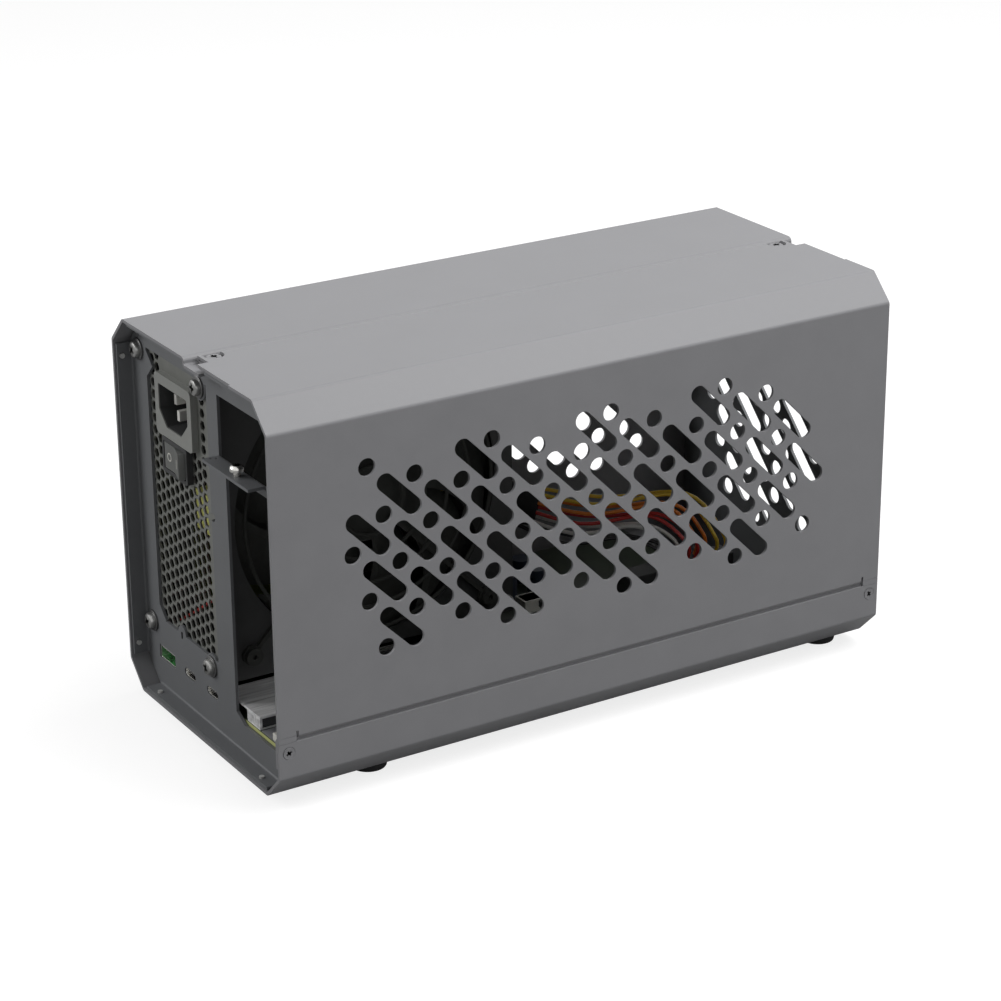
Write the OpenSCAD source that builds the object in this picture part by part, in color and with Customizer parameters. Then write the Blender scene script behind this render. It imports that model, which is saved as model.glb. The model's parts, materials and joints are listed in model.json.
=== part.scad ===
// External graphics card enclosure: a folded sheet case with a small power supply,
// a docking board with one card slot, and an open bay for a two-slot graphics card.
// Lengths run from the rear (connector) end; the whole is centred and stood on its feet.

/* [Case] */
// Length of the case, rear end to front end
case_l = 275; // [250:1:330]
// Width of the case over its outer faces
case_w = 127.5; // [126:0.5:150]
// Height of the case without its feet
case_h = 155; // [152:1:180]
// Thickness of the case sheet
sheet = 1.2; // [1:0.1:1.5]
// Leg of the 45 degree corner folds
corner = 10.5; // [8:0.5:14]
// Inner radius of an ordinary fold
fold_r = 0.8; // [0.5:0.1:1.2]
// Height of the lower strip on the card side, where the cover starts
strip_h = 24.8; // [22:0.2:30]
// Depth of the two end panels behind the case ends
recess = 7.2; // [6:0.2:10]

/* [Seam on top] */
// Sideways place of the downward lip, from the centre line
seam_y = 0.4; // [-5:0.1:5]
// Depth of the lip, and of the ledge that carries the cover
ledge_drop = 3; // [2.8:0.1:3.4]
// Width of the ledge under the cover
ledge_w = 12; // [11:0.5:16]
// Distance of the seam screws from the case ends
seam_screw_x = 10.5; // [9.5:0.5:20]

/* [Vents] */
// Unit of the vent grid
vent_unit = 6.53; // [6.2:0.01:6.8]
// Diameter of the round vents and width of the slots
vent_d = 7; // [5:0.1:7.4]
// Length of a slot between the centres of its round ends
vent_slot = 16.2; // [10:0.1:18]
// Distance of the first vent from the rear end
vent_x = 39.4; // [36:0.1:44]
// Height of the first vent above the case bottom
vent_z = 124.8; // [122:0.1:130]

/* [Power supply] */
// Length of the power supply body
psu_l = 130; // [128:1:140]
// Thickness of the power supply body
psu_w = 63.5; // [63.5:0.5:66]
// Height of the power supply body
psu_h = 125; // [125:0.5:127]
// Thickness of its sheet
psu_sheet = 0.8; // [0.6:0.1:1]
// Height of the power supply above the case bottom
psu_z = 22.2; // [21.5:0.1:24]
// Across the flats of a mesh hole
mesh_flat = 3.6; // [3:0.1:3.8]
// Pitch of the mesh
mesh_pitch = 4.8; // [4.6:0.1:5.4]

/* [Fan] */
// Side of the square fan frame
fan_side = 120; // [116:1:120]
// Depth of the fan frame
fan_depth = 15; // [14:0.5:16]
// Number of blades
fan_blades = 9; // [5:2:11]

/* [Docking board] */
// Height of the board's top face above the case bottom
board_z = 15; // [14:0.1:16]
// Length of the board
board_l = 224; // [216:1:240]
// Thickness of the board
board_t = 1.6; // [1.2:0.2:2]
// Sideways place of the card slot's centre
slot_y = -19; // [-22:0.5:-17]
// Distance of the card slot from the rear end
slot_x = 52; // [50:1:60]
// Length of the card slot body
slot_l = 89; // [85:1:92]

/* [Feet] */
// Height of the rubber feet
foot_h = 4.5; // [3:0.5:8]
// Radius of the rubber feet
foot_r = 8; // [6:0.5:9]
// Distance of the rear feet from the rear end
foot_rear_x = 48; // [40:1:60]
// Distance of the front feet from the front end
foot_front_x = 14; // [12:1:20]
// Half the distance between left and right feet
foot_y = 43; // [38:0.5:44]

/* [Hidden] */
$fn = 48;

// Clearances
fit = 0.1;
eps = 0.01;
bend_steps = 5;

// Derived places
half_w = case_w / 2;
case_in_w = half_w - sheet;
panel_back = recess + sheet;
flange_start = 0.8;
ledge_top = case_h - ledge_drop;
hem_r = (ledge_drop - fit) / 2 - sheet - 0.02;
cover_edge_y = seam_y - 0.5;
psu_x = panel_back;
psu_y1 = case_in_w - 1.1;
psu_y0 = psu_y1 - psu_w;
psu_mid_y = (psu_y0 + psu_y1) / 2;
psu_mid_z = psu_z + psu_h / 2;
psu_screw_y = 51.5;
psu_screw_z = 113;
fan_x = psu_x + psu_l / 2;
fan_z = psu_mid_z;
fan_hole_pitch = 105;
fan_y0 = psu_y0 + psu_sheet;
board_x = panel_back + 0.5;
board_y1 = case_in_w - 4;
board_y0 = -case_in_w + 3;
board_bottom = board_z - board_t;

// A folded sheet's section: p is the line of its outer face, the sheet lies to the left of it,
// r holds the inner radius of each fold.
function unit(v) = v / norm(v);
function left_of(d) = [-d[1], d[0]];
function turned(v, a) = [v[0] * cos(a) - v[1] * sin(a), v[0] * sin(a) + v[1] * cos(a)];
function turn(a, b) = atan2(a[0] * b[1] - a[1] * b[0], a * b);
function fold_arc(p, i, r, t, inner) =
    let (d0 = unit(p[i] - p[i - 1]),
         d1 = unit(p[i + 1] - p[i]),
         a = turn(d0, d1),
         s = a > 0 ? 1 : -1,
         line_r = a > 0 ? r + t : r,
         c = p[i] - d0 * line_r * tan(abs(a) / 2) + s * line_r * left_of(d0),
         arc_r = line_r - (inner ? s * t : 0))
    [for (k = [0 : bend_steps]) c + arc_r * turned(-s * left_of(d0), a * k / bend_steps)];
function sheet_line(p, r, t, inner) =
    let (n = len(p),
         first = left_of(unit(p[1] - p[0])) * (inner ? t : 0),
         last = left_of(unit(p[n - 1] - p[n - 2])) * (inner ? t : 0))
    concat([p[0] + first],
           [for (i = [1 : n - 2]) each fold_arc(p, i, r[i], t, inner)],
           [p[n - 1] + last]);
function reversed(v) = [for (i = [len(v) - 1 : -1 : 0]) v[i]];
function sheet_section(p, r, t) = concat(sheet_line(p, r, t, false), reversed(sheet_line(p, r, t, true)));
function same(n, r) = [for (i = [0 : n - 1]) r];

// Sections drawn in (y, z) run along X, those in (x, z) run along Y.
module along_x(x0, x1) translate([x0, 0, 0]) rotate([90, 0, 90]) linear_extrude(x1 - x0) children();
module along_y(y0, y1) translate([0, y1, 0]) rotate([90, 0, 0]) linear_extrude(y1 - y0) children();
module in_case() translate([-case_l / 2, 0, foot_h]) children();

// Pins along an axis, from a point towards plus
module rod_x(x0, x1, y, z, r) translate([x0, y, z]) rotate([0, 90, 0]) cylinder(h = x1 - x0, r = r);
module rod_y(x, y0, y1, z, r) translate([x, y1, z]) rotate([90, 0, 0]) cylinder(h = y1 - y0, r = r);
module rod_z(x, y, z0, z1, r) translate([x, y, z0]) cylinder(h = z1 - z0, r = r);

// Vent grid: the round vents and slots of each slanted column, as (column, place in column)
function grid_at(c, j) = [(3 * (c - 1) + j) * vent_unit, (-(c - 1) - 3 * j) * vent_unit];
last_column = 11;
function dot_rows(c) = c == 0 ? [2 : 4] : [-floor((c - 1) / 3) : 3 - floor((c - 1) / 3)];
function slot_rows(c) = c == 0 ? [1 : 3]
    : c == last_column ? [-3 : -2]
    : [-floor(c / 3) : 2 - floor((c - 1) / 3)];
module vent_dot() circle(d = vent_d);
module vent_slot_shape() translate([2 * vent_unit, -2 * vent_unit]) rotate(-45) {
    for (s = [-1, 1]) translate([s * vent_slot / 2, 0]) circle(d = vent_d);
    square([vent_slot, vent_d], center = true);
}
module side_vents() {
    for (c = [0 : last_column]) {
        for (j = dot_rows(c)) translate(grid_at(c, j)) vent_dot();
        for (j = slot_rows(c)) translate(grid_at(c, j)) vent_slot_shape();
    }
}

// Countersunk screw: its flat head lies in the plane z = 0 and it points down
module flat_screw(d, head_d, length) {
    head = (head_d - d) / 2;
    translate([0, 0, -head]) cylinder(h = head, d1 = d, d2 = head_d);
    translate([0, 0, -length]) cylinder(h = length - head + eps, d = d);
}
module flat_screw_cut(d, head_d) {
    head = (head_d - d) / 2;
    over = 0.3;
    translate([0, 0, -head - fit])
        cylinder(h = head + fit + over, d1 = d + 2 * fit, d2 = head_d + 4 * fit + 2 * over);
    translate([0, 0, -3]) cylinder(h = 4, d = d + 2 * fit);
}

// Case sheets
shell_line = [[-half_w, strip_h], [-half_w, corner], [-half_w + corner, 0], [half_w - corner, 0],
              [half_w, corner], [half_w, case_h - corner], [half_w - corner, case_h], [seam_y, case_h],
              [seam_y, ledge_top], [seam_y - ledge_w, ledge_top]];
flange_screw_x = 2.8;
flange_screw_z = [17.3, 137.5];
flange_screw_y = [-43.3, 43.3];
strip_screw_x = 4.2;
strip_screw_z = 20.8;
case_screw_d = 2;
case_screw_head = 3.6;
strip_screw_d = 2.5;
strip_screw_head = 4.8;
seam_screw_y = seam_y - 3.7;
seam_screw_d = 3;

module end_pair(x) for (e = [0, 1]) translate([e * case_l, 0, 0]) mirror([e, 0, 0])
    translate([x, 0, 0]) children();
module panel_screw_places() {
    end_pair(flange_screw_x) {
        for (z = flange_screw_z) translate([0, half_w, z]) rotate([-90, 0, 0]) children();
        for (y = flange_screw_y) translate([0, y, 0]) rotate([180, 0, 0]) children();
    }
}
module strip_screw_places() end_pair(strip_screw_x) translate([0, -half_w, strip_screw_z])
    rotate([90, 0, 0]) children();
module foot_places() for (x = [foot_rear_x, case_l - foot_front_x], y = [-foot_y, foot_y])
    translate([x, y, 0]) children();

module outer_shell() color("#55585b") in_case() difference() {
    along_x(0, case_l) polygon(sheet_section(shell_line, same(10, fold_r), sheet));
    panel_screw_places() flat_screw_cut(case_screw_d, case_screw_head);
    strip_screw_places() flat_screw_cut(strip_screw_d, strip_screw_head);
    end_pair(seam_screw_x) rod_z(0, seam_screw_y, ledge_top - 2 * sheet, ledge_top + 1,
        seam_screw_d / 2 + fit);
    foot_places() rod_z(0, 0, -1, sheet + 1, foot_screw_d / 2 + fit);
    standoff_places() rod_z(0, 0, -1, sheet + 1, standoff_screw_d / 2 + fit);
    translate([vent_x + vent_unit, half_w + 1, vent_z - vent_unit]) rotate([90, 0, 0])
        linear_extrude(sheet + 2) side_vents();
}

// The card side and its half of the top, with a closed hem on the ledge and a flange behind the strip
cover_gap = 0.8;
cover_flange = 10;
joggle = sheet + fit;
tab_l = 7.5;
notch_l = 5.2;
notch_w = 9.4;
step_w = 35.5;
step_l = 0.8;
seam_notch_r = 3.9;
hem_top = ledge_top + 0.05 + sheet + 0.2;
cover_line = [[cover_edge_y - 8, ledge_top + 0.05], [cover_edge_y, ledge_top + 0.05], [cover_edge_y,
    case_h],
              [-half_w + corner, case_h], [-half_w, case_h - corner], [-half_w,
                  strip_h + cover_gap + joggle],
              [-half_w + joggle, strip_h + cover_gap], [-half_w + joggle, strip_h - cover_flange]];
cover_folds = [0, hem_r, hem_r, fold_r, fold_r, 0.3, 0.3, 0];
module side_cover() color("#6e7072") in_case() difference() {
    union() {
        along_x(0, case_l) polygon(sheet_section(cover_line, cover_folds, sheet));
        end_pair(0) translate([0, -half_w, strip_h + fit]) cube([tab_l, sheet, cover_gap + joggle]);
    }
    end_pair(-1) translate([0, -notch_w, ledge_top - 1])
        cube([1 + notch_l, notch_w + seam_y, ledge_drop + 2]);
    end_pair(-1) translate([0, -step_w, ledge_top - 1]) cube([1 + step_l, step_w + seam_y, ledge_drop + 2]);
    end_pair(seam_screw_x) {
        rod_z(0, seam_screw_y, hem_top, case_h + 1, seam_notch_r);
        translate([-seam_notch_r, seam_screw_y, hem_top]) cube([2 * seam_notch_r, 6, 5]);
        translate([-seam_notch_r, cover_edge_y - 1.6, ledge_top - 1]) cube([2 * seam_notch_r, 4, 5]);
        rod_z(0, seam_screw_y, ledge_top - 1, case_h, seam_screw_d / 2 + fit);
        translate([-seam_screw_d / 2 - fit, seam_screw_y, ledge_top - 1])
            cube([seam_screw_d + 2 * fit, 6, 5]);
    }
    end_pair(tab_l) translate([0, -half_w - 1, strip_h + cover_gap]) cube([0.9, sheet + 1.1, 3.4]);
    end_pair(strip_screw_x) rod_y(0, -half_w, -half_w + 5, strip_screw_z, strip_screw_d / 2 + fit);
    translate([vent_x, -half_w + sheet + 1, vent_z]) rotate([90, 0, 0])
        linear_extrude(sheet + 2) side_vents();
}

// End panels: a plate with folded flanges towards the end of the case
module end_plate_outline(inset) {
    w = case_in_w - inset;
    z0 = sheet + inset;
    z1 = case_h - sheet - inset;
    c = corner;
    polygon([[-w + joggle, z0 + c], [-w + c, z0], [w - c, z0], [w, z0 + c], [w, z1 - c], [w - c, z1],
             [seam_y + joggle, z1], [seam_y + joggle, ledge_top - sheet - fit], [seam_y - ledge_w - 1,
                 ledge_top - sheet - fit],
             [seam_y - ledge_w - 1, z1], [-w + c, z1], [-w + joggle, z1 - c]]);
}
flange_line = [[flange_start, fit], [panel_back, fit], [panel_back, 8]];
module flange_section() polygon(sheet_section(flange_line, same(3, fold_r), sheet));
module end_panel_blank() {
    top_half = half_w - corner - 2;
    difference() {
        along_x(recess, panel_back) end_plate_outline(fit);
        // bend relief beside the flanges
        translate([recess - 1, -top_half, 0]) cube([sheet + 2, 2 * top_half, sheet + 1.9]);
        translate([recess - 1, case_in_w - 1.9, corner + 2]) cube([sheet + 2, 3, case_h - 2 * corner - 4]);
        translate([recess - 1, seam_y + 3, case_h - sheet - 1.9])
            cube([sheet + 2, top_half - seam_y - 3, 3]);
        translate([recess - 1, -top_half, case_h - sheet - 1.9])
            cube([sheet + 2, top_half + seam_y - ledge_w - 3, 3]);
    }
    translate([0, 0, sheet]) along_y(-top_half, top_half) flange_section();
    translate([0, 0, case_h - sheet]) mirror([0, 0, 1]) along_y(seam_y + 3, top_half) flange_section();
    translate([0, 0, case_h - sheet]) mirror([0, 0, 1])
        along_y(-top_half, seam_y - ledge_w - 3) flange_section();
    translate([0, case_in_w, corner + 2]) mirror([0, 1, 0])
        linear_extrude(case_h - 2 * corner - 4) flange_section();
}
module flange_screw_cuts() {
    for (z = flange_screw_z) rod_y(flange_screw_x, case_in_w - 3, case_in_w + 1, z, case_screw_d / 2 + fit);
    for (y = flange_screw_y) rod_z(flange_screw_x, y, sheet - 1, sheet + 3, case_screw_d / 2 + fit);
}

// Rear panel: window round the power supply, two card windows with a shelf between them, and the sockets
psu_win_y0 = -1.8;
psu_win_y1 = psu_y1 - 12.4;
psu_win_z0 = psu_mid_z - psu_screw_z / 2 + 3.6;
psu_win_z1 = psu_mid_z + psu_screw_z / 2 + 2.4;
lobe_r = 5.2;
card_win_y0 = -case_in_w + joggle + 4;
upper_win_y1 = -10.6;
upper_win_z1 = 142.6;
shelf_z = 119.1;
shelf_edge = 0.2;
shelf_y0 = -47.2;
shelf_marks = [[3.1, -11.9], [4.6, -13.4]];
lower_win_y1 = -15.4;
lower_win_z0 = 13.7;
lower_win_z1 = 114.6;
usb_a_y = psu_mid_y + 14.4;
usb_c_y = [psu_mid_y - 5.6, psu_mid_y - 25];
port_z = board_z + 1.65;
shelf_screw_y = -33;
shelf_screw_x = recess - 4;
module psu_screw_places() for (y = [-1, 1], z = [-1, 1])
    translate([0, psu_mid_y + y * psu_screw_y / 2, psu_mid_z + z * psu_screw_z / 2]) children();
module psu_window() {
    difference() {
        translate([psu_win_y0, psu_win_z0]) square([psu_win_y1 - psu_win_y0, psu_win_z1 - psu_win_z0]);
        for (z = [-1, 1]) translate([psu_mid_y - psu_screw_y / 2, psu_mid_z + z * psu_screw_z / 2]) {
            circle(r = lobe_r);
            translate([0, z > 0 ? 0 : -lobe_r]) translate([-lobe_r, 0]) square([lobe_r, lobe_r]);
        }
        for (z = [-1, 1]) translate([psu_mid_y + psu_screw_y / 2, psu_mid_z + z * psu_screw_z / 2])
            rotate(z > 0 ? 225 : 135) square([2 * lobe_r + 11.6, 11], center = true);
        translate([psu_mid_y, psu_win_z0]) circle(r = 3.4);
    }
}
module usb_c_shape(grow) {
    for (s = [-1, 1]) translate([s * 2.9, 0]) circle(r = 1.6 + grow);
    square([5.8, 3.2 + 2 * grow], center = true);
}
module rear_openings() {
    translate([card_win_y0, shelf_z]) square([upper_win_y1 - card_win_y0, upper_win_z1 - shelf_z]);
    translate([shelf_y0 - 0.4, shelf_z - 2]) square([upper_win_y1 - shelf_y0 + 0.4, 2 + eps]);
    psu_window();
    translate([usb_a_y - 6.9, port_z - 2.7]) square([13.8, 5.6]);
    for (y = usb_c_y) translate([y, port_z]) usb_c_shape(0.25);
    translate([psu_mid_y, psu_win_z0 - 0.6]) square([1.6, 3], center = true);
    translate([psu_win_y0 - 1.2, 91.7]) circle(r = 1.7);
    translate([6.7, 146.4]) square([3, 3], center = true);
    polygon([[card_win_y0, lower_win_z0], [lower_win_y1 - 7, lower_win_z0], [lower_win_y1,
        lower_win_z0 + 3.6],
             [lower_win_y1, lower_win_z1], [card_win_y0, lower_win_z1]]);
}
module rear_panel() color("#4b4d51") in_case() difference() {
    union() {
        difference() {
            end_panel_blank();
            along_x(recess - 1, panel_back + 1) rear_openings();
        }
        // shelf that carries the card brackets, folded out of the upper window
        translate([0, 0, shelf_z]) mirror([0, 0, 1]) along_y(shelf_y0, upper_win_y1)
            polygon(sheet_section([[shelf_edge, 0], [panel_back, 0], [panel_back, 4.5]], same(3, fold_r),
                sheet));
    }
    flange_screw_cuts();
    translate([recess - 1, 0, 0]) psu_screw_places() rotate([0, 90, 0])
        cylinder(h = 4, d = psu_screw_d + 2 * fit);
    rod_z(shelf_screw_x, shelf_screw_y, shelf_z - 3, shelf_z + 1, shelf_screw_d / 2);
    for (m = shelf_marks) rod_z(m[0], m[1], shelf_z - 3, shelf_z + 1, 0.5);
}

// Front panel: the same blank with its own vents
front_vent_y = 22.5;
front_vent_z = 123.1;
front_clear_y = 47;
front_clear_z = [26, 130];
function front_at(c, j) = [front_vent_y - (3 * c + j) * vent_unit, front_vent_z - (c + 3 * j) * vent_unit];
function front_ok(p, m) = abs(p[0]) < front_clear_y - m && p[1] > front_clear_z[0] + m
    && p[1] < front_clear_z[1] - m;
module front_vents() {
    for (c = [-4 : 6], j = [-4 : 8]) {
        p = front_at(c, j);
        s = p + [-2 * vent_unit, -2 * vent_unit];
        if (front_ok(p, 0)) translate(p) vent_dot();
        if (front_ok(s, 7)) translate(s) rotate(45) {
            for (e = [-1, 1]) translate([e * vent_slot / 2, 0]) circle(d = vent_d);
            square([vent_slot, vent_d], center = true);
        }
    }
}
module front_panel() color("#4b4d51") in_case() translate([case_l, 0, 0]) mirror([1, 0, 0]) difference() {
    end_panel_blank();
    flange_screw_cuts();
    along_x(recess - 1, panel_back + 1) front_vents();
}

// Small fasteners of the case
module panel_screws() color("silver") in_case() panel_screw_places()
    flat_screw(case_screw_d, case_screw_head, 3.2);
module strip_screws() color("#77787a") in_case() strip_screw_places()
    flat_screw(strip_screw_d, strip_screw_head, 5);
module wafer_screw(d, head_d, head_h, length, socket) {
    difference() {
        cylinder(h = head_h, d = head_d);
        translate([0, 0, head_h - socket]) cylinder(h = socket + 1, d = head_d * 0.3, $fn = 6);
    }
    translate([0, 0, -length]) cylinder(h = length + eps, d = d);
}
module seam_screws() color("#77787a") in_case() end_pair(seam_screw_x)
    translate([0, seam_screw_y, ledge_top + 0.05 + sheet])
    wafer_screw(seam_screw_d, 6.2, 1.3, 5, 0.8);
shelf_screw_d = 3;
// The screw stands open by a card bracket's thickness and a little more
shelf_screw_open = 2.1;
module shelf_screw() color("silver") in_case()
    translate([shelf_screw_x, shelf_screw_y, shelf_z + shelf_screw_open])
        wafer_screw(shelf_screw_d - 2 * fit, 5.4, 2.2, shelf_screw_open + sheet + 0.3, 1.2);
foot_screw_d = 3;
foot_dish = 2.2;
module rubber_feet() color("#222") in_case() foot_places() mirror([0, 0, 1]) difference() {
    cylinder(h = foot_h, r1 = foot_r, r2 = foot_r - 1);
    translate([0, 0, foot_dish]) cylinder(h = foot_h, d = 7);
    translate([0, 0, -1]) cylinder(h = foot_h, d = foot_screw_d + 2 * fit);
}
module foot_screws() color("silver") in_case() foot_places() mirror([0, 0, 1]) translate([0, 0, foot_dish])
    wafer_screw(foot_screw_d, 5.6, 1.6, foot_dish + 4, 0.8);

// Power supply: tray, lid with the fan window, rear plate with the mesh and front plate with the cable
// outlet
psu_in = psu_sheet + fit;
psu_corner = 2.6; // leg of the small fold beside the case's own top fold
module psu_outline(inset) {
    y1 = psu_y1 - inset;
    z1 = psu_z + psu_h - inset;
    polygon([[psu_y0 + inset, psu_z + inset], [y1, psu_z + inset], [y1, z1 - psu_corner],
             [y1 - psu_corner, z1], [psu_y0 + inset, z1]]);
}
mesh_cols = floor((psu_w - 6) / (mesh_pitch * cos(30)));
mesh_rows = floor((psu_h - 8) / mesh_pitch);
module mesh_holes() {
    col = mesh_pitch * cos(30);
    for (i = [0 : mesh_cols - 1], k = [0 : mesh_rows - 1]) {
        p = [psu_mid_y + (i - (mesh_cols - 1) / 2) * col,
             psu_mid_z + (k - (mesh_rows - 1) / 2 + (i % 2 == 0 ? 0 : 0.5)) * mesh_pitch];
        if (mesh_clear(p)) translate(p) circle(d = mesh_flat / cos(30), $fn = 6);
    }
}
inlet_y = psu_mid_y - 5.4;
inlet_z = psu_mid_z + 40.6;
inlet_w = 30.6;
inlet_h = 24.4;
inlet_cut_w = 27.4;
inlet_cut_h = 19.8;
switch_y = psu_mid_y - 4.6;
switch_z = inlet_z - 19.7;
switch_w = 21;
switch_h = 14.4;
switch_cut_w = 20;
switch_cut_h = 13;
function in_box(p, y, z, w, h) = abs(p[0] - y) < w / 2 && abs(p[1] - z) < h / 2;
function mesh_clear(p) = !in_box(p, inlet_y, inlet_z, inlet_w + 0.8, inlet_h + 1)
    && !in_box(p, switch_y, switch_z, switch_w + 0.8, switch_h + 1)
    && p[1] < psu_mid_z + psu_h / 2 - 4
    && !(p[1] > inlet_z && abs(p[0] - inlet_y) < inlet_w / 2 + 0.4)
    && min([for (y = [-1, 1], z = [-1, 1])
        norm(p - [psu_mid_y + y * psu_screw_y / 2, psu_mid_z + z * psu_screw_z / 2])]) > 5.6;
module psu_rear_plate() color("#7c7e78") in_case() difference() {
    along_x(psu_x, psu_x + psu_sheet) difference() {
        psu_outline(0);
        mesh_holes();
        translate([inlet_y, inlet_z]) square([inlet_cut_w, inlet_cut_h], center = true);
        translate([switch_y, switch_z]) square([switch_cut_w, switch_cut_h], center = true);
    }
    psu_screw_places() rod_x(psu_x - 1, psu_x + 2, 0, 0, psu_screw_d / 2);
}
module psu_front_plate() color("#3a3c3e") in_case() difference() {
    x1 = psu_x + psu_l;
    along_x(x1 - psu_sheet, x1) difference() {
        psu_outline(psu_in);
        translate([outlet_y, outlet_z]) square([outlet_w, outlet_w], center = true);
        for (k = [0 : 7]) translate([psu_mid_y + 4, psu_z + 62 + 7 * k]) square([34, 2.6], center = true);
    }
}
outlet_y = psu_mid_y + 4;
outlet_z = psu_z + 34;
outlet_w = 22;
psu_screw_d = 3.5;
module psu_case() color("#4a4c4b") in_case() {
    x0 = psu_x + psu_sheet;
    for (x = [psu_x + lid_screw_in, psu_x + psu_l - lid_screw_in], top = [0, 1])
        translate([x - 1.7, psu_y0 + psu_in, top ? psu_z + psu_h - lid_screw_z - 3 : psu_z + 0.5])
            difference() {
            cube([3.4, psu_sheet, lid_screw_z + 2.5]);
            translate([1.7, 1, top ? 3 : lid_screw_z - 0.5]) rotate([90, 0, 0])
                cylinder(h = 3, r = 1.25 + fit, center = true);
        }
    z1 = psu_z + psu_h;
    tray = [[psu_y0 + psu_in, psu_z], [psu_y1, psu_z], [psu_y1, z1 - psu_corner], [psu_y1 - psu_corner, z1],
            [psu_y0 + psu_in, z1]];
    along_x(x0, psu_x + psu_l) polygon(sheet_section(tray, same(5, 0.3), psu_sheet));
}
module psu_cover() color("#3f4142") in_case() difference() {
    x0 = psu_x + psu_sheet;
    along_y(psu_y0, psu_y0 + psu_sheet) difference() {
        translate([x0, psu_z]) square([psu_l - psu_sheet, psu_h]);
        translate([fan_x, fan_z]) circle(r = fan_side / 2 - 3);
    }
    fan_hole_places() rod_y(0, psu_y0 - 1, psu_y0 + 2, 0, 2.15);
    lid_screw_places() rod_y(0, psu_y0 - 1, psu_y0 + 2, 0, 1.25 + fit);
}
module fan_hole_places() for (x = [-1, 1], z = [-1, 1])
    translate([fan_x + x * fan_hole_pitch / 2, 0, fan_z + z * fan_hole_pitch / 2]) children();
module psu_screws() color("#2c2d2e") in_case() translate([recess, 0, 0]) psu_screw_places()
    rotate([0, -90, 0]) {
    cylinder(h = 0.8, d = 8.6);
    translate([0, 0, 0.8 - eps]) difference() {
        union() {
            cylinder(h = 1.2, d = 6.4);
            translate([0, 0, 1.2 - eps]) cylinder(h = 0.9, d1 = 6.4, d2 = 4.2);
        }
        for (a = [0, 90]) rotate(a) translate([-1.9, -0.35, 1]) cube([3.8, 0.7, 2]);
    }
    translate([0, 0, -6]) cylinder(h = 6 + eps, d = psu_screw_d - 2 * fit);
}

// Inlet and switch of the power supply
inlet_face = recess - 1.4;
inlet_depth = 13;
inlet_open_w = 24.2;
inlet_open_h = 16.2;
inlet_bevel = 6;
pin_w = 2;
pin_h = 4;
pin_pitch = 14;
pin_step = 4;
pin_back = [4.5, 2.2]; // how far the two live pins and the earth pin end behind the face
module inlet_opening() polygon([[-inlet_open_w / 2, inlet_open_h / 2], [inlet_open_w / 2, inlet_open_h / 2],
    [inlet_open_w / 2, -inlet_open_h / 2 + inlet_bevel], [inlet_open_w / 2 - inlet_bevel,
        -inlet_open_h / 2],
    [-inlet_open_w / 2 + inlet_bevel, -inlet_open_h / 2], [-inlet_open_w / 2,
        -inlet_open_h / 2 + inlet_bevel]]);
module pin_places(earth) {
    if (earth) translate([0, -pin_step / 2]) children();
    else for (s = [-1, 1]) translate([s * pin_pitch / 2, pin_step / 2]) children();
}
module rounded(w, h, r) {
    square([w - 2 * r, h], center = true);
    square([w, h - 2 * r], center = true);
    for (x = [-1, 1], y = [-1, 1]) translate([x * (w / 2 - r), y * (h / 2 - r)]) circle(r = r);
}
module inlet_housing() color("#7d7f7a") in_case() translate([0, inlet_y, inlet_z]) difference() {
    union() {
        along_x(inlet_face, psu_x) rounded(inlet_w, inlet_h, 2);
        along_x(psu_x - eps, psu_x + inlet_depth)
            square([inlet_cut_w - 2 * fit, inlet_cut_h - 2 * fit], center = true);
    }
    along_x(inlet_face - 1, psu_x + inlet_depth - 1.6) inlet_opening();
    for (e = [0, 1]) along_x(psu_x, psu_x + inlet_depth + 1)
        pin_places(e == 1) square([pin_w + 2 * fit, pin_h + 2 * fit], center = true);
}
module inlet_pins() color("silver") in_case() translate([0, inlet_y, inlet_z]) for (e = [0, 1])
    along_x(inlet_face + pin_back[e], psu_x + inlet_depth + 3) pin_places(e == 1)
        square([pin_w, pin_h], center = true);

rocker_r = 8.9;
rocker_depth = 3;
rocker_w = 10.4;
rocker_angle = 16;
rocker_pin_r = 1;
rocker_x = inlet_face + rocker_depth;
switch_depth = 12;
module switch_bezel() color("#2b2c2d") in_case() translate([0, switch_y, switch_z]) difference() {
    union() {
        along_x(inlet_face, psu_x) rounded(switch_w, switch_h, 1.2);
        along_x(psu_x - eps, psu_x + switch_depth)
            square([switch_cut_w - 2 * fit, switch_cut_h - 2 * fit], center = true);
        for (y = [-1, 1]) translate([psu_x + switch_depth, y * 5 - 0.4, -2.4]) cube([5, 0.8, 4.8]);
    }
    translate([inlet_face - 1, -rocker_r - 0.25, -rocker_w / 2 - 0.3])
        cube([rocker_depth + rocker_r + 1.4, 2 * rocker_r + 0.5, rocker_w + 0.6]);
    translate([rocker_x, 0, 0])
        cylinder(h = 2 * (rocker_w / 2 + 0.3 + 0.65), r = rocker_pin_r + 0.05, center = true);
}
module rocker() color("#3d3f3d") in_case() translate([rocker_x, switch_y, switch_z]) {
    intersection() {
        cylinder(h = rocker_w, r = rocker_r, center = true);
        translate([0, 0, -rocker_w]) linear_extrude(2 * rocker_w)
            polygon([[-rocker_depth, 0], [-rocker_depth, 12], [6, 12], [6, -12],
                     [-rocker_depth - 12 * tan(rocker_angle), -12]]);
    }
    cylinder(h = rocker_w + 1.5, r = rocker_pin_r, center = true);
}

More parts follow.
